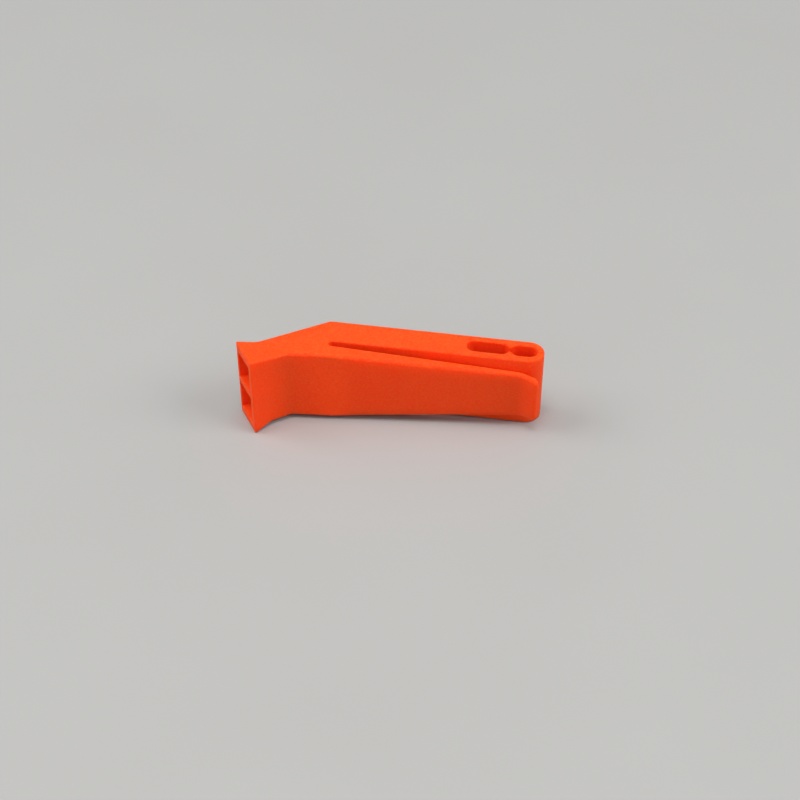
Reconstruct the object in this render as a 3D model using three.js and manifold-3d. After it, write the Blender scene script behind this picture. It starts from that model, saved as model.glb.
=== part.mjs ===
// Pealess safety whistle with two chambers and a belt clip. Millimetres, +Z up.
//
// The whistle lies on its narrow side, so its plan is the dog-leg that a designer would draw first:
// a mouthpiece, a bend and a straight bar. X runs along the bar to the tail, +Y faces the sound windows,
// -Y faces the clip, and Z crosses the two chambers. Plan points start from the outer corner of the bend.

import * as THREE from 'three';
import { mergeVertices } from 'three/addons/utils/BufferGeometryUtils.js';
import Module from 'manifold-3d';

// Body outline
const bendAngle = THREE.MathUtils.degToRad(34.3);
const bodyWidth = 18.8; // across both chambers
const barLength = 50.9; // bend to tail end
const barThickness = 7.3;
const bendRadius = 1.2;
const mouthpieceLength = 23.4; // bend to mouth face
const neckThickness = 7.25;
const edgeRadius = 0.4;

// Flare of the mouth
const flareLength = 6;
const flareBlend = 2.4; // curved start of the flare, straight after it
const flareNear = 1.35; // outward growth on the near face
const flareFar = 0.75;
const flareWidth = 1.3; // outward growth on the two sides
const rimWall = 1.5;
const rimFarWall = 0.9;
const rimSideWall = 2.3;
const rimRadius = 0.3;

// Inner walls
const septum = 1.5;
const sideWall = 1.4;
const nearWall = 1.5;
const upperTailBlock = 12; // solid plastic between a chamber and the lanyard slot
const lowerTailBlock = 9;

// Welded cover with its windows
const coverThickness = 1.5;
const coverLip = 0.6; // rim of the shell beside the cover
const coverSetback = 0.7; // flare to cover
const coverLand = 1.5; // seat beyond the longer chamber
const weldGap = 0.1;
const windowLength = 4.6;
const windowMargin = 0.45; // cell wall to window
const lipDistance = 4; // bend to the edge that splits the air
const lipThickness = 0.3;
const lipSlopeEnd = 1; // bend to the top of the lip's slope

// Windways
const windwayGroove = 0.5; // cut into the cover
const windwayDrop = 0.5; // from the cover down to the block
const blockSetback = 0.4;
const blockNose = 2.2; // sloped lead-in
const blockNoseHeight = 0.8;

// Lanyard slot: two slots joined by a narrow neck
const lanyardWidth = 3.7;
const longSlotLength = 10;
const shortSlotLength = 6.2;
const lanyardNeck = 1.2;
const neckRadius = 0.4;
const lanyardRimRadius = 0.25;
const tailWall = 1.55;

// Clip arm
const clipRootThickness = 12.95; // far face to the arm's outer face, at the bend
const clipSlotStart = 1.2; // bend to the closed end of the slot
const clipSlotWidth = 1.7; // at the closed end
const pinchGap = 0.15;
const pinchThickness = 1.35;
const pinchWidth = 12.5;
const tipLength = 4.4;
const tipThickness = 1.8;
const tipWidth = 11.6;
const tipAngle = THREE.MathUtils.degToRad(23.5);
const tipSetback = 0.5; // arm tip to tail end
const tipCornerRadius = 1.2;
const armEdgeRadius = 0.7; // outer edges, soft to the hand
const hingeGap = 0.3;

// Finish
const plasticColor = 0xf4501b;
const plasticRoughness = 0.55;

// Steps of the round stretches
const edgeSteps = 5;
const flareSteps = 8;
const bendSteps = 4;
const tailSteps = 28;
const slotSteps = 12;
const cornerSteps = 5;

// How far cutting shapes run past the faces they open
const cutMargin = 1;

const halfWidth = bodyWidth / 2;
const cellInner = septum / 2;
const cellOuter = halfWidth - sideWall;
const flareStart = mouthpieceLength - flareLength;
const coverFront = flareStart - coverSetback;
const windwayExit = lipDistance + windowLength;
const neckFloor = neckThickness - nearWall;
const barFloor = barThickness - nearWall;
const lanyardRadius = lanyardWidth / 2;
const lanyardEnd = barLength - tailWall;
const neckRise = lanyardNeck / 2 + neckRadius;
const neckReach = Math.sqrt((lanyardRadius + neckRadius) ** 2 - neckRise ** 2);
const shortSlotCenter = lanyardEnd - shortSlotLength + lanyardRadius; // its end towards the neck
const longSlotCenter = shortSlotCenter - 2 * neckReach;
const lanyardStart = longSlotCenter + lanyardRadius - longSlotLength;
const upperChamberEnd = lanyardStart - upperTailBlock;
const lowerChamberEnd = lanyardStart - lowerTailBlock;
const coverEnd = Math.max(upperChamberEnd, lowerChamberEnd) + coverLand;
const seatX = clipSlotStart + clipSlotWidth / 2; // where the arm leaves the shell
const tipX = barLength - tipSetback;
const pinchX = tipX - tipLength;
const pinchInner = -barThickness - pinchGap;
const pinchOuter = pinchInner - pinchThickness;
const slotFarSide = -barThickness;
const slotNearSide = slotFarSide - clipSlotWidth;

const wasm = await Module();
wasm.setup();

const point = (x, y) => new THREE.Vector2(x, y);

// Plan point of the mouthpiece: u runs from the bend to the mouth, v out through the far face
const mouthPoint = (u, v) => point(-u, v).rotateAround(point(0, 0), bendAngle);
const mouthDistance = (p) => -p.x * Math.cos(bendAngle) - p.y * Math.sin(bendAngle);

// Heights between two distances from the mid-plane, on the upper or the lower side
const span = (side, inner, outer) => (side > 0 ? [inner, outer] : [-outer, -inner]);

// Corner where a face at one depth under the ramp meets a face at another depth under the bar
const bendCorner = (neckDepth, barDepth = neckDepth) =>
  point((neckDepth - barDepth * Math.cos(bendAngle)) / Math.sin(bendAngle), -barDepth);

// Share of the flare reached at a distance along the mouthpiece: a curved start, then straight
function flareAt(u) {
  const run = THREE.MathUtils.clamp(u - flareStart, 0, flareLength);
  const rise = run < flareBlend ? run ** 2 / (2 * flareBlend) : run - flareBlend / 2;
  return rise / (flareLength - flareBlend / 2);
}

function arc(center, radius, from, to, steps) {
  return Array.from({ length: steps + 1 }, (_, i) => {
    const angle = from + ((to - from) * i) / steps;
    return point(center.x + radius * Math.cos(angle), center.y + radius * Math.sin(angle));
  });
}

// Height on the line through two plan points
const lineAt = (a, b, x) => a.y + ((b.y - a.y) * (x - a.x)) / (b.x - a.x);

// The outer and inner faces of the arm, as lines from the shell to the pinch
const armOuter = (x) => lineAt(point(0, -clipRootThickness), point(pinchX, pinchOuter), x);
const armInner = (x) => lineAt(point(seatX, slotNearSide), point(pinchX, pinchInner), x);

// Moves each point of a closed outline into the solid by its own distance
function inset(outline, distances) {
  const count = outline.length;
  return outline.map((p, i) => {
    const before = p.clone().sub(outline[(i + count - 1) % count]).normalize();
    const after = outline[(i + 1) % count].clone().sub(p).normalize();
    const bisector = point(-before.y - after.y, before.x + after.x).normalize();
    const reach = distances[i] / (bisector.x * -after.y + bisector.y * after.x);
    return p.clone().addScaledVector(bisector, reach);
  });
}

// Closed solid through a stack of rings. The first and last points of a ring face each other in pairs,
// and the caps run as a strip between the pairs and as a flat face over the rest.
function ringSolid(rings, pairs) {
  const count = rings[0].length;
  const index = [];
  for (let r = 0; r + 1 < rings.length; r++) {
    for (let i = 0; i < count; i++) {
      const j = (i + 1) % count;
      const [a, b, c, d] = [r * count + i, r * count + j, (r + 1) * count + j, (r + 1) * count + i];
      index.push(a, b, c, a, c, d);
    }
  }
  const cap = [];
  for (let i = 0; i + 1 < pairs; i++) {
    const [a, b, c, d] = [i, i + 1, count - 2 - i, count - 1 - i];
    cap.push([a, b, c], [a, c, d]);
  }
  const rest = Array.from({ length: Math.max(0, count - 2 * (pairs - 1)) }, (_, i) => pairs - 1 + i);
  if (rest.length > 2) {
    const flat = rest.map((i) => point(rings[0][i].x, rings[0][i].y));
    cap.push(...THREE.ShapeUtils.triangulateShape(flat, []).map((face) => face.map((i) => rest[i])));
  }
  const top = (rings.length - 1) * count;
  for (const [a, b, c] of cap) {
    index.push(c, b, a, top + a, top + b, top + c);
  }
  const geometry = new THREE.BufferGeometry().setFromPoints(rings.flat());
  geometry.setIndex(index);
  return geometry;
}

// Upright solid over an outline, with each long edge rounded by the radius that its point carries
function roundedPrism(corners, halfWidthAt, pairs) {
  const outline = corners.map(({ p }) => p);
  const ring = (angle, side) => {
    const moved = inset(outline, corners.map(({ r }) => r * (1 - Math.cos(angle))));
    return moved.map((p, i) => {
      const drop = corners[i].r * (1 - Math.sin(angle));
      return new THREE.Vector3(p.x, p.y, side * (halfWidthAt(p) - drop));
    });
  };
  const angles = Array.from({ length: edgeSteps + 1 }, (_, i) => (i * Math.PI) / 2 / edgeSteps);
  const lower = angles.toReversed().map((angle) => ring(angle, -1));
  const upper = angles.map((angle) => ring(angle, 1));
  return ringSolid([...lower, ...upper], pairs);
}

// Upright cutter whose hole widens to a rounded rim at both faces
function rimmedCutter(outline, radius) {
  const ring = (grow, z) =>
    inset(outline, outline.map(() => -grow)).map((p) => new THREE.Vector3(p.x, p.y, z));
  const upper = Array.from({ length: edgeSteps + 1 }, (_, i) => {
    const angle = (i * Math.PI) / 2 / edgeSteps;
    return ring(radius * (1 - Math.cos(angle)), halfWidth - radius * (1 - Math.sin(angle)));
  });
  upper.push(ring(radius, halfWidth + cutMargin));
  const lower = upper.toReversed().map((points) => points.map((p) => new THREE.Vector3(p.x, p.y, -p.z)));
  return ringSolid([...lower, ...upper], 1);
}

// Upright prism between two heights
function slab(points, low, high) {
  const options = { depth: high - low, bevelEnabled: false };
  return new THREE.ExtrudeGeometry(new THREE.Shape(points), options).translate(0, 0, low);
}

function solid(geometry) {
  const bare = geometry.clone();
  bare.deleteAttribute('normal');
  bare.deleteAttribute('uv');
  const merged = mergeVertices(bare);
  const mesh = new wasm.Mesh({
    numProp: 3,
    vertProperties: new Float32Array(merged.attributes.position.array),
    triVerts: new Uint32Array(merged.index.array),
  });
  return new wasm.Manifold(mesh);
}

const cut = (body, ...cutters) => cutters.reduce((rest, cutter) => rest.subtract(solid(cutter)), body);

function piece(name, body) {
  const { vertProperties, triVerts } = body.getMesh();
  const geometry = new THREE.BufferGeometry();
  geometry.setAttribute('position', new THREE.BufferAttribute(vertProperties, 3));
  geometry.setIndex(new THREE.BufferAttribute(triVerts, 1));
  geometry.computeVertexNormals();
  const material = new THREE.MeshStandardMaterial({
    color: plasticColor,
    roughness: plasticRoughness,
    metalness: 0,
  });
  const mesh = new THREE.Mesh(geometry, material);
  mesh.name = name;
  return mesh;
}

// One flank of the mouthpiece from the rim back to the start of the flare
function mouthFlank(face, growth) {
  const outward = Math.sign(growth);
  const side = (u) => face + growth * flareAt(u);
  const round = Array.from({ length: cornerSteps }, (_, i) => {
    const angle = (i * Math.PI) / 2 / cornerSteps;
    const u = mouthpieceLength - rimRadius * (1 - Math.cos(angle));
    return mouthPoint(u, side(u) - outward * rimRadius * (1 - Math.sin(angle)));
  });
  const straight = Array.from({ length: flareSteps + 1 }, (_, i) => {
    const u = mouthpieceLength - rimRadius - ((flareLength - rimRadius) * i) / flareSteps;
    return mouthPoint(u, side(u));
  });
  return [...round, ...straight];
}

const withRadius = (points, r) => points.map((p) => ({ p, r }));

// Round of the outer bend, from the bar to the ramp
const bendRound = () =>
  arc(bendCorner(bendRadius), bendRadius, Math.PI / 2, Math.PI / 2 + bendAngle, bendSteps);

// Where the near face of the mouthpiece meets the outer face of the arm
function clipKink() {
  const slope = armOuter(1) - armOuter(0);
  const u = (clipRootThickness - neckThickness * (Math.cos(bendAngle) + slope * Math.sin(bendAngle)))
    / (Math.sin(bendAngle) - slope * Math.cos(bendAngle));
  return mouthPoint(u, -neckThickness);
}

// Outer form of the shell: mouthpiece, root of the clip, slot, bar and rounded tail
function shellForm() {
  const near = mouthFlank(-neckThickness, -flareNear);
  const far = mouthFlank(0, flareFar).toReversed();
  const stubX = seatX + cutMargin;
  const slotRound = arc(point(seatX, (slotFarSide + slotNearSide) / 2), clipSlotWidth / 2, -Math.PI / 2,
    (-Math.PI * 3) / 2, slotSteps);
  const tail = arc(point(barLength - barThickness / 2, -barThickness / 2), barThickness / 2, -Math.PI / 2,
    Math.PI / 2, tailSteps);
  const corners = [
    ...withRadius(near, edgeRadius),
    ...withRadius([clipKink(), point(stubX, armOuter(stubX))], armEdgeRadius),
    ...withRadius([point(stubX, armInner(stubX)), ...slotRound, ...tail], edgeRadius),
    ...withRadius([...bendRound(), ...far], edgeRadius),
  ];
  const reach = (p) => halfWidth + flareWidth * flareAt(mouthDistance(p));
  const stubCut = [
    point(seatX, -clipRootThickness - cutMargin),
    point(stubX + cutMargin, -clipRootThickness - cutMargin),
    point(stubX + cutMargin, (slotFarSide + slotNearSide) / 2),
    point(seatX, (slotFarSide + slotNearSide) / 2),
  ];
  return cut(solid(roundedPrism(corners, reach, near.length)), slab(stubCut, -bodyWidth, bodyWidth));
}

// Funnel of one mouth cell, from the rim to the start of its windway
function mouthFunnel(side) {
  const ring = (u) => {
    const share = (u - coverFront) / (mouthpieceLength - coverFront);
    const blend = (inner, rim) => inner + (rim - inner) * share;
    const far = blend(windwayGroove - coverThickness, flareFar - rimFarWall);
    const near = blend(-neckFloor, rimWall - neckThickness - flareNear);
    const outer = blend(cellOuter, halfWidth + flareWidth - rimSideWall);
    const [low, high] = span(side, cellInner, outer);
    const places = [[near, low], [far, low], [far, high], [near, high]];
    return places.map(([v, z]) => new THREE.Vector3(mouthPoint(u, v).x, mouthPoint(u, v).y, z));
  };
  return ringSolid([ring(mouthpieceLength + cutMargin), ring(coverFront - cutMargin)], 2);
}

// One chamber with the seat of its windway block, open towards the cover
function chamberPocket(side, end) {
  const front = coverFront - weldGap;
  const depth = coverThickness - windwayGroove;
  const points = [
    mouthPoint(front, -neckFloor),
    bendCorner(neckFloor, barFloor),
    point(end, -barFloor),
    point(end, -depth),
    bendCorner(depth),
    mouthPoint(front, -depth),
  ];
  return slab(points, ...span(side, cellInner, cellOuter));
}

// Seat of the cover, cut through the far face
function coverSeat() {
  const depth = coverThickness + weldGap;
  const points = [
    mouthPoint(coverFront + weldGap, -depth),
    bendCorner(depth),
    point(coverEnd + weldGap, -depth),
    point(coverEnd + weldGap, cutMargin),
    bendCorner(-cutMargin),
    mouthPoint(coverFront + weldGap, cutMargin),
  ];
  return slab(points, coverLip - halfWidth, halfWidth - coverLip);
}

// Through slot for a lanyard, its two lobes joined by a rounded neck
function lanyardSlot() {
  const axis = -barThickness / 2;
  const turn = Math.atan2(neckRise, neckReach);
  const longStart = point(lanyardStart + lanyardRadius, axis);
  const longEnd = point(longSlotCenter, axis);
  const shortStart = point(shortSlotCenter, axis);
  const shortEnd = point(lanyardEnd - lanyardRadius, axis);
  const neckX = longSlotCenter + neckReach;
  const outline = [
    ...arc(longStart, lanyardRadius, Math.PI / 2, (Math.PI * 3) / 2, slotSteps),
    ...arc(longEnd, lanyardRadius, -Math.PI / 2, -turn, cornerSteps),
    ...arc(point(neckX, axis - neckRise), neckRadius, Math.PI - turn, turn, cornerSteps).slice(1, -1),
    ...arc(shortStart, lanyardRadius, Math.PI + turn, (Math.PI * 3) / 2, cornerSteps),
    ...arc(shortEnd, lanyardRadius, -Math.PI / 2, Math.PI / 2, slotSteps),
    ...arc(shortStart, lanyardRadius, Math.PI / 2, Math.PI - turn, cornerSteps),
    ...arc(point(neckX, axis + neckRise), neckRadius, -turn, turn - Math.PI, cornerSteps).slice(1, -1),
    ...arc(longEnd, lanyardRadius, turn, Math.PI / 2, cornerSteps),
  ];
  return rimmedCutter(outline, lanyardRimRadius);
}

function bodyShell() {
  return cut(
    shellForm(),
    mouthFunnel(1),
    mouthFunnel(-1),
    chamberPocket(1, upperChamberEnd),
    chamberPocket(-1, lowerChamberEnd),
    coverSeat(),
    lanyardSlot(),
  );
}

// Cutter as wide as one sound window
const windowSlab = (points, side) =>
  slab(points, ...span(side, cellInner + windowMargin, cellOuter - windowMargin));

// Opening over one chamber: a square windway exit, and a sloped lip that splits the air
function soundWindow(side) {
  const lipTop = coverThickness - lipThickness;
  const slope = (lipDistance - lipSlopeEnd) / lipTop;
  const points = [
    mouthPoint(windwayExit, cutMargin),
    mouthPoint(windwayExit, -coverThickness - cutMargin),
    mouthPoint(lipDistance, -coverThickness - cutMargin),
    mouthPoint(lipDistance, -lipTop),
    mouthPoint(lipSlopeEnd - slope * cutMargin, cutMargin),
  ];
  return windowSlab(points, side);
}

// Roof of one windway, a groove in the underside of the cover
function windwayRoof(side) {
  const roof = windwayGroove - coverThickness;
  const points = [
    mouthPoint(coverFront + cutMargin, roof),
    mouthPoint(coverFront + cutMargin, -coverThickness - cutMargin),
    mouthPoint(lipDistance + windowLength / 2, -coverThickness - cutMargin),
    mouthPoint(lipDistance + windowLength / 2, roof),
  ];
  return windowSlab(points, side);
}

// Bent plate that closes both chambers, flush with the far face
function frontCover() {
  const points = [
    mouthPoint(coverFront, -coverThickness),
    bendCorner(coverThickness),
    point(coverEnd, -coverThickness),
    point(coverEnd, 0),
    ...bendRound(),
    mouthPoint(coverFront, 0),
  ];
  const reach = halfWidth - coverLip - weldGap;
  return cut(
    solid(slab(points, -reach, reach)),
    soundWindow(1),
    soundWindow(-1),
    windwayRoof(1),
    windwayRoof(-1),
  );
}

// Block whose top is the floor of one windway and whose back is the front wall of the chamber
function windwayBlock(side) {
  const front = coverFront - blockSetback;
  const floor = neckFloor - weldGap;
  const top = coverThickness + windwayDrop;
  const points = [
    mouthPoint(front, -floor),
    mouthPoint(windwayExit, -floor),
    mouthPoint(windwayExit, -top),
    mouthPoint(front - blockNose, -top),
    mouthPoint(front, blockNoseHeight - floor),
  ];
  return solid(slab(points, ...span(side, cellInner + weldGap, cellOuter - weldGap)));
}

// Spring arm of the clip: tapers to the pinch in thickness and width, then turns out to a thicker round tip
function clipArm() {
  const rootX = seatX + hingeGap;
  const startX = rootX - cutMargin;
  const tipTurn = (x) => Math.tan(tipAngle) * (x - pinchX);
  const tipRadius = tipThickness / 2;
  const bodyEnd = tipX - tipRadius;
  const axis = pinchOuter - tipTurn(bodyEnd) + tipRadius;
  const nose = arc(point(bodyEnd, axis), tipRadius, -Math.PI / 2, Math.PI / 2, 2 * cornerSteps + 1);
  const outer = [
    point(startX, armOuter(startX)),
    point(rootX, armOuter(rootX)),
    point(pinchX, pinchOuter),
    ...nose.slice(0, cornerSteps + 1),
  ];
  const inner = [
    ...nose.slice(cornerSteps + 1),
    point(pinchX, pinchInner),
    point(rootX, armInner(rootX)),
    point(startX, armInner(startX)),
  ];
  const reach = ({ x }) => {
    if (x <= rootX) return halfWidth;
    if (x <= pinchX) return lineAt(point(rootX, halfWidth), point(pinchX, pinchWidth / 2), x);
    const flat = lineAt(point(pinchX, pinchWidth / 2), point(tipX, tipWidth / 2), x);
    const past = THREE.MathUtils.clamp(x - tipX + tipCornerRadius, 0, tipCornerRadius);
    return flat - tipCornerRadius + Math.sqrt(tipCornerRadius ** 2 - past ** 2);
  };
  const corners = [...withRadius(outer, armEdgeRadius), ...withRadius(inner, edgeRadius)];
  const rootCut = [
    point(startX - cutMargin, -clipRootThickness - cutMargin),
    point(rootX, -clipRootThickness - cutMargin),
    point(rootX, 0),
    point(startX - cutMargin, 0),
  ];
  return cut(solid(roundedPrism(corners, reach, outer.length)), slab(rootCut, -bodyWidth, bodyWidth));
}

const whistle = new THREE.Group();
whistle.add(
  piece('body_shell', bodyShell()),
  piece('front_cover', frontCover()),
  piece('windway_block_upper', windwayBlock(1)),
  piece('windway_block_lower', windwayBlock(-1)),
  piece('clip_arm', clipArm()),
);

// Origin under the middle of the whistle, at its lowest point
const box = new THREE.Box3().setFromObject(whistle);
const middle = box.getCenter(new THREE.Vector3());
whistle.position.set(-middle.x, -middle.y, -box.min.z);

export default whistle;
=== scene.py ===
# Looks of an orange safety whistle that lies on its narrow side: plastic, clip arm, table, lamps, camera
import math

import bmesh
import bpy
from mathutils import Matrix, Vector


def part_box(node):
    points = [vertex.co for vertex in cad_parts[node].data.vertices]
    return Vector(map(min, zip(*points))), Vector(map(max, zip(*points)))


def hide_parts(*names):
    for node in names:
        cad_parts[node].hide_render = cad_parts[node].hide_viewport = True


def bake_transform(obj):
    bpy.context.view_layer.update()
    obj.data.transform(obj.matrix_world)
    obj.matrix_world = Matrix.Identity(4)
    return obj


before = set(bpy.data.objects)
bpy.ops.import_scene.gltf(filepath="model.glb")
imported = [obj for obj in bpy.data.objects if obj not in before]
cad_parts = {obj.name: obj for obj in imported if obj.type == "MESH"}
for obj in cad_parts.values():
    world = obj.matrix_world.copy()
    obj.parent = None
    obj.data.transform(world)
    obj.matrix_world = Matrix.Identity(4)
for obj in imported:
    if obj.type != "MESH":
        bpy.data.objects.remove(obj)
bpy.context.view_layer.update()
scene = bpy.context.scene
mm = 0.001
print("frame:", ", ".join(sorted(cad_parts)))


def linear(hexColour):
    channels = [int(hexColour[i:i + 2], 16) / 255 for i in (1, 3, 5)]
    return [c / 12.92 if c <= 0.04045 else ((c + 0.055) / 1.055) ** 2.4 for c in channels] + [1.0]


# Sockets are given by name or by number. A colour Mix has its factor at 0, its two colours at 6 and 7
# and its result at output 2
def addNode(tree, kind, settings, links=None):
    node = tree.nodes.new(kind)
    for name, value in settings.items():
        if isinstance(name, str) and hasattr(node, name):
            setattr(node, name, value)
        else:
            node.inputs[name].default_value = value
    for name, source in (links or {}).items():
        tree.links.new(source, node.inputs[name])
    return node


def perMm(size):
    return 1 / (size * mm)  # texture scale at which one cell of a pattern is that many millimetres


# The plan's own zero: outer corner of the bend, at half width
plan = {
    "barLength": 50.9,
    "bendAngle": 34.3,
}
shellLow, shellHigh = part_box("body_shell")
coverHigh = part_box("front_cover")[1]
planZero = Vector((shellHigh.x - plan["barLength"] * mm, coverHigh.y, (shellLow.z + shellHigh.z) / 2))


def fromPlan(x, y, z):
    return planZero + Vector((x, y, z)) * mm


# Injection-moulded ABS from a spark-eroded mould: opaque orange that glows red where it is thin or hollow,
# matte, with a fine sandy grain and faint streaks where the melt flowed along the arm
plastic = {
    "colour": "#FF5620",
    "streakColour": "#FF4E1C",
    "grainColour": "#FF4212",
    "roughness": (0.42, 0.6),
    "ior": 1.53,
    "gloss": 0.06,
    "grain": 0.55,  # mm, a real spark grain of about 0.05 mm is too fine to show
    "grainDetail": 2,
    "grainBreakup": 0.6,
    "grainSpan": (0.3, 0.7),  # part of the noise that the grain's colours use
    "grainDepth": 0.12,  # mm
    "streak": 2.6,  # mm across the flow
    "streakDetail": 3,
    "streakStretch": 0.25,
    "glowDepth": (3.0, 0.8, 0.2),  # mm that red, green and blue light wander
    "glow": 0.8,
    "root": (2.05, -10.9),  # plan mm, where the clip arm leaves the shell
    "rootReach": (2.4, 6.0),  # mm round it over which the glow comes back, so that no seam shows
}


def mouldedAbs():
    material = bpy.data.materials.new("mouldedAbs")
    material.use_nodes = True
    tree = material.node_tree
    tree.nodes.clear()
    place = addNode(tree, "ShaderNodeTexCoord", {}).outputs["Object"]
    along = addNode(tree, "ShaderNodeMapping", {"Scale": (plastic["streakStretch"], 1, 1)}, {"Vector": place})
    streaks = addNode(tree, "ShaderNodeTexNoise",
                      {"Scale": perMm(plastic["streak"]), "Detail": plastic["streakDetail"]},
                      {"Vector": along.outputs[0]})
    grain = addNode(tree, "ShaderNodeTexNoise",
                    {"Scale": perMm(plastic["grain"]), "Detail": plastic["grainDetail"],
                     "Roughness": plastic["grainBreakup"]},
                    {"Vector": place})
    streaked = addNode(tree, "ShaderNodeMix",
                       {"data_type": "RGBA", 6: linear(plastic["colour"]),
                        7: linear(plastic["streakColour"])},
                       {0: streaks.outputs[0]})
    low, high = plastic["grainSpan"]
    specks = addNode(tree, "ShaderNodeMapRange", {"From Min": low, "From Max": high},
                     {"Value": grain.outputs[0]})
    speckled = addNode(tree, "ShaderNodeMix", {"data_type": "RGBA", 7: linear(plastic["grainColour"])},
                       {0: specks.outputs[0], 6: streaked.outputs[2]})
    low, high = plastic["roughness"]
    sheen = addNode(tree, "ShaderNodeMapRange", {"To Min": low, "To Max": high},
                    {"Value": grain.outputs[0]})
    bump = addNode(tree, "ShaderNodeBump", {"Distance": plastic["grainDepth"] * mm},
                   {"Height": grain.outputs[0]})
    # The glow is left out round the arm's root and comes back with the distance from it in plan
    root = fromPlan(*plastic["root"], 0)
    offset = addNode(tree, "ShaderNodeMapping", {"Location": (-root.x, -root.y, 0), "Scale": (1, 1, 0)},
                     {"Vector": place})
    distance = addNode(tree, "ShaderNodeVectorMath", {"operation": "LENGTH"}, {0: offset.outputs[0]})
    low, high = plastic["rootReach"]
    glow = addNode(tree, "ShaderNodeMapRange",
                   {"interpolation_type": "SMOOTHSTEP", "From Min": low * mm, "From Max": high * mm,
                    "To Max": plastic["glow"]},
                   {"Value": distance.outputs["Value"]})
    shader = addNode(tree, "ShaderNodeBsdfPrincipled",
                     {"IOR": plastic["ior"], "Specular IOR Level": plastic["gloss"],
                      "Subsurface Radius": plastic["glowDepth"], "Subsurface Scale": mm},
                     {"Base Color": speckled.outputs[2], "Roughness": sheen.outputs[0],
                      "Normal": bump.outputs[0], "Subsurface Weight": glow.outputs[0]})
    addNode(tree, "ShaderNodeOutputMaterial", {}, {"Surface": shader.outputs[0]})
    return material


absPlastic = mouldedAbs()
print("material:", absPlastic.name)

# Soft shading on the carried-over solids: welded corners, smooth over the small rounds, crisp at true edges.
# The crest of the mouth's rim, where the rounds crowd and fold, is welded more coarsely
shading = {
    "weld": 0.002,  # mm
    "crest": 0.06,  # mm from the rim's highest and lowest points
    "crestWeld": 0.2,  # mm
    "crisp": 32,  # degrees from which an edge stays sharp
}


def softShading():
    tree = bpy.data.node_groups.new("softShading", "GeometryNodeTree")
    tree.interface.new_socket("Geometry", in_out="INPUT", socket_type="NodeSocketGeometry")
    tree.interface.new_socket("Geometry", in_out="OUTPUT", socket_type="NodeSocketGeometry")
    source = addNode(tree, "NodeGroupInput", {})
    welded = addNode(tree, "GeometryNodeMergeByDistance", {"Distance": shading["weld"] * mm},
                     {"Geometry": source.outputs[0]})
    place = addNode(tree, "GeometryNodeInputPosition", {})
    apart = addNode(tree, "ShaderNodeSeparateXYZ", {}, {0: place.outputs[0]})
    height = addNode(tree, "ShaderNodeMath", {"operation": "SUBTRACT", 1: planZero.z},
                     {0: apart.outputs["Z"]})
    reach = addNode(tree, "ShaderNodeMath", {"operation": "ABSOLUTE"}, {0: height.outputs[0]})
    crestReach = shellHigh.z - planZero.z - shading["crest"] * mm
    crest = addNode(tree, "FunctionNodeCompare", {"operation": "GREATER_THAN", 1: crestReach},
                    {0: reach.outputs[0]})
    rim = addNode(tree, "GeometryNodeMergeByDistance", {"Distance": shading["crestWeld"] * mm},
                  {"Geometry": welded.outputs[0], "Selection": crest.outputs[0]})
    faces = addNode(tree, "GeometryNodeSetShadeSmooth", {"domain": "FACE", "Shade Smooth": True},
                    {0: rim.outputs[0]})
    angle = addNode(tree, "GeometryNodeInputMeshEdgeAngle", {})
    soft = addNode(tree, "FunctionNodeCompare", {"operation": "LESS_THAN", 1: math.radians(shading["crisp"])},
                   {0: angle.outputs[0]})
    edges = addNode(tree, "GeometryNodeSetShadeSmooth", {"domain": "EDGE"},
                    {0: faces.outputs[0], "Shade Smooth": soft.outputs[0]})
    addNode(tree, "NodeGroupOutput", {}, {0: edges.outputs[0]})
    return tree


def soften(piece, group):
    piece.modifiers.new("softShading", "NODES").node_group = group
    weighted = piece.modifiers.new("flatFaces", "WEIGHTED_NORMAL")
    weighted.keep_sharp = True
    piece.data.materials.clear()
    piece.data.materials.append(absPlastic)


softGroup = softShading()
for name in ("body_shell", "front_cover", "windway_block_upper", "windway_block_lower"):
    soften(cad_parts[name], softGroup)
print("shell, cover and blocks: finished")

# Spring arm of the clip, in plan millimetres, drawn without the joint's gap so that it grows out of the shell
clip = {
    "seat": 2.05,
    "straight": 2.35,  # from here on the arm loses height
    "pinch": 46.0,
    "tip": 50.4,
    "outerRoot": -12.95,
    "innerRoot": -9.0,
    "outerPinch": -8.8,
    "innerPinch": -7.45,
    "halfRoot": 9.4,
    "halfPinch": 6.25,
    "halfTip": 5.8,
    "tipThickness": 1.8,
    "tipAngle": 23.5,
    "tipBend": 1.0,  # half length of the curve into the turned-out tip
    "tipCorner": 1.2,
    "outerRadius": 0.7,
    "innerRadius": 0.4,
    "roundShare": 0.98,  # most of half the thickness that a round may take
    "leastHalf": 0.002,  # half thickness that is left at the end of the nose
    "crown": 0.3,  # fall of the outer face towards its long edges
    "crownShare": 0.15,  # most of the thickness that it may take
    "crownReach": 3.0,
    "crownPower": 3,
    "crownStart": 8.0,  # length over which it grows from the root
    "crownSteps": 4,
    "cornerSteps": 6,
    "stations": 60,
    "noseSteps": 12,
    "bendEnd": 16,  # where the arm has reached the joint's full turn
}


def between(x, x0, y0, x1, y1):
    return y0 + (y1 - y0) * (x - x0) / (x1 - x0)


# How far the tip has turned out at x
def tipTurn(x):
    run = x - clip["pinch"] + clip["tipBend"]
    rise = 0 if run <= 0 else min(run, 2 * clip["tipBend"]) ** 2 / (4 * clip["tipBend"])
    return math.tan(math.radians(clip["tipAngle"])) * (rise + max(0, run - 2 * clip["tipBend"]))


# How far a round at the end of the tip has drawn a face in at x
def noseInset(radius, x):
    past = max(0, x - clip["tip"] + radius)
    return radius - math.sqrt(max(0, radius ** 2 - past ** 2))


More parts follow.
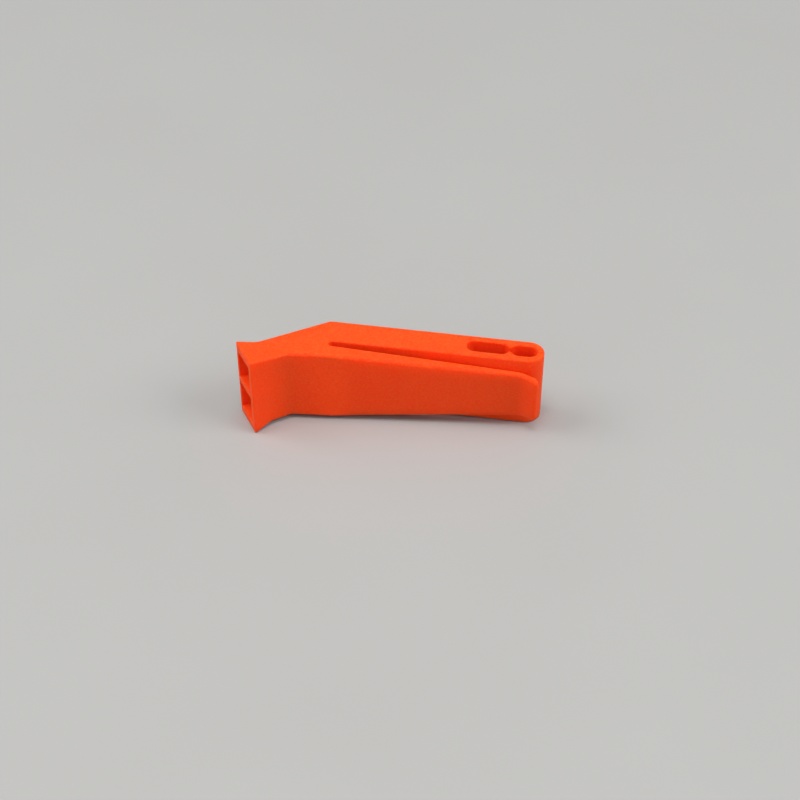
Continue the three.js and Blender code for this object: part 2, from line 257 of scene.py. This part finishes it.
# Outer face, inner face and half height at x
def armFaces(x):
    flat = min(x, clip["pinch"])
    turn = tipTurn(x)
    outer = between(flat, 0, clip["outerRoot"], clip["pinch"], clip["outerPinch"]) - turn
    inner = between(flat, clip["seat"], clip["innerRoot"], clip["pinch"], clip["innerPinch"]) - turn
    growth = clip["tipThickness"] - clip["innerPinch"] + clip["outerPinch"]
    inner += growth * turn / tipTurn(clip["tip"])
    if x <= clip["pinch"]:
        tapered = max(x, clip["straight"])
        half = between(tapered, clip["straight"], clip["halfRoot"], clip["pinch"], clip["halfPinch"])
    else:
        half = between(x, clip["pinch"], clip["halfPinch"], clip["tip"], clip["halfTip"])
    inset = noseInset(clip["tipThickness"] / 2, x)
    return outer + inset, inner - inset, half - noseInset(clip["tipCorner"], x)


# Ring of points round the arm at x: four rounded corners, then the outer face with its crown
def armSection(x):
    outer, inner, half = armFaces(x)
    halfThickness = max(clip["leastHalf"], (inner - outer) / 2)
    ring = []
    corners = [(outer, -half, 180, clip["outerRadius"]), (inner, -half, 270, clip["innerRadius"]),
               (inner, half, 0, clip["innerRadius"]), (outer, half, 90, clip["outerRadius"])]
    for y, z, start, wanted in corners:
        radius = min(wanted, halfThickness * clip["roundShare"])
        centreY = y + radius if y == outer else y - radius
        centreZ = z + radius if z < 0 else z - radius
        for i in range(clip["cornerSteps"] + 1):
            turn = math.radians(start + 90 * i / clip["cornerSteps"])
            ring.append((centreY + radius * math.cos(turn), centreZ + radius * math.sin(turn)))
    reach, steps = clip["crownReach"], clip["crownSteps"]
    depths = [between(i, 0, clip["outerRadius"], steps, reach) for i in range(1, steps + 1)]
    ring += [(outer, half - d) for d in depths] + [(outer, d - half) for d in reversed(depths)]
    crown = min(clip["crown"], clip["crownShare"] * (inner - outer))
    crown *= min(1, max(0, x - clip["straight"]) / clip["crownStart"])
    middle = (outer + inner) / 2
    section = []
    for y, z in ring:
        closeness = max(0, 1 - (half - abs(z)) / reach)  # 1 at a long edge, 0 where the crown ends
        fall = crown * closeness ** clip["crownPower"] if y < middle else 0
        section.append((x, y + fall, z))
    return section


def clipArm():
    noseStart = clip["tip"] - clip["tipCorner"]
    steps, noseSteps = clip["stations"], clip["noseSteps"]
    spots = [clip["seat"], clip["straight"]]
    spots += [between(i, 0, clip["straight"], steps, noseStart) for i in range(1, steps)]
    quarters = [math.pi / 2 * i / noseSteps for i in range(noseSteps + 1)]
    spots += [noseStart + clip["tipCorner"] * math.sin(a) for a in quarters]
    mesh = bmesh.new()
    rings = [[mesh.verts.new(fromPlan(*p)) for p in armSection(x)] for x in spots]
    for one, two in zip(rings, rings[1:]):
        for i in range(len(one)):
            j = (i + 1) % len(one)
            mesh.faces.new((one[i], one[j], two[j], two[i]))
    mesh.faces.new(rings[0][::-1])
    mesh.faces.new(rings[-1])
    bmesh.ops.recalc_face_normals(mesh, faces=mesh.faces)
    data = bpy.data.meshes.new("clipArm")
    mesh.to_mesh(data)
    mesh.free()
    arm = bpy.data.objects.new("clipArm", data)
    scene.collection.objects.link(arm)
    return arm


arm = clipArm()
soften(arm, softGroup)
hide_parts("clip_arm")
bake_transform(arm)
print("clip arm:", len(arm.data.vertices), "points")

# Painted table top: pale grey, matte, with clouds so faint that it reads as plain. It leans by about
# a degree, so that it meets both the mouth's rim and the tail
table = {
    "colour": "#A2A2A0",
    "mottleColour": "#9E9D9B",
    "mottle": 60,  # mm
    "mottleDetail": 2,
    "roughness": 0.6,
    "size": 3000,  # mm
}


def paintedTable():
    material = bpy.data.materials.new("paintedTable")
    material.use_nodes = True
    tree = material.node_tree
    tree.nodes.clear()
    place = addNode(tree, "ShaderNodeTexCoord", {}).outputs["Object"]
    mottle = addNode(tree, "ShaderNodeTexNoise",
                     {"Scale": perMm(table["mottle"]), "Detail": table["mottleDetail"]}, {"Vector": place})
    clouded = addNode(tree, "ShaderNodeMix",
                      {"data_type": "RGBA", 6: linear(table["colour"]), 7: linear(table["mottleColour"])},
                      {0: mottle.outputs[0]})
    shader = addNode(tree, "ShaderNodeBsdfPrincipled", {"Roughness": table["roughness"]},
                     {"Base Color": clouded.outputs[2]})
    addNode(tree, "ShaderNodeOutputMaterial", {}, {"Surface": shader.outputs[0]})
    return material


def tableTop():
    bend = math.radians(plan["bendAngle"])
    toTail = Vector((math.cos(bend), math.sin(bend), 0))
    points = [v.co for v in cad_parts["body_shell"].data.vertices]
    rim = min(points, key=lambda p: p.z)
    reach = [(p - rim).dot(toTail) for p in points]
    clear = plan["barLength"] * mm / 2  # the tail's point of rest is farther from the rim than this
    slope = min((p.z - rim.z) / r for p, r in zip(points, reach) if r > clear)
    up = (Vector((0, 0, 1)) - toTail * slope).normalized()
    side = table["size"] * mm / 2
    corners = [(-side, -side, 0), (side, -side, 0), (side, side, 0), (-side, side, 0)]
    data = bpy.data.meshes.new("tableTop")
    data.from_pydata(corners, [], [(0, 1, 2, 3)])
    data.materials.append(paintedTable())
    top = bpy.data.objects.new("tableTop", data)
    top.rotation_mode = "QUATERNION"
    top.rotation_quaternion = up.to_track_quat("Z", "Y")
    top.location = rim
    scene.collection.objects.link(top)
    return top


floor = tableTop()
print("table: normal", [round(v, 4) for v in floor.rotation_quaternion @ Vector((0, 0, 1))])

# Soft boxes overhead and at both sides, and a weaker one in front, in metres and watts
lamps = {
    "overhead": {"place": (0.0, -0.2, 1.8), "size": 0.8, "power": 18.5},
    "left": {"place": (-1.2, -0.1, 1.2), "size": 1.0, "power": 13.5},
    "right": {"place": (1.2, -0.2, 1.1), "size": 0.8, "power": 12.0},
    "front": {"place": (0.0, -1.8, 0.7), "size": 1.2, "power": 2.6},
}
room = {"colour": "#FFFFFF", "strength": 0.38}
for name, lamp in lamps.items():
    light = bpy.data.lights.new(name, "AREA")
    light.size = lamp["size"]
    light.energy = lamp["power"]
    holder = bpy.data.objects.new(name, light)
    holder.location = lamp["place"]
    holder.rotation_mode = "QUATERNION"
    holder.rotation_quaternion = Vector(lamp["place"]).to_track_quat("Z", "Y")
    holder.visible_camera = False
    scene.collection.objects.link(holder)
world = bpy.data.worlds.new("room")
world.use_nodes = True
background = world.node_tree.nodes["Background"]
background.inputs["Color"].default_value = linear(room["colour"])
background.inputs["Strength"].default_value = room["strength"]
scene.world = world
scene.view_settings.view_transform = "Standard"
print("light:", len(lamps), "lamps")

# The photograph's view, its place in plan millimetres
view = {
    "place": (63.92, -282.53, 238.66),
    "down": 41.31,  # degrees
    "turn": 9.51,
    "lens": 70.4,
    "sensor": 36,
    "nearest": 10,  # mm from which things are drawn
}
camera = bpy.data.objects.new("camera", bpy.data.cameras.new("camera"))
camera.location = fromPlan(*view["place"])
camera.rotation_euler = (math.radians(90 - view["down"]), 0, math.radians(view["turn"]))
camera.data.lens = view["lens"]
camera.data.sensor_width = view["sensor"]
camera.data.clip_start = view["nearest"] * mm
scene.collection.objects.link(camera)
scene.camera = camera
print("camera set")
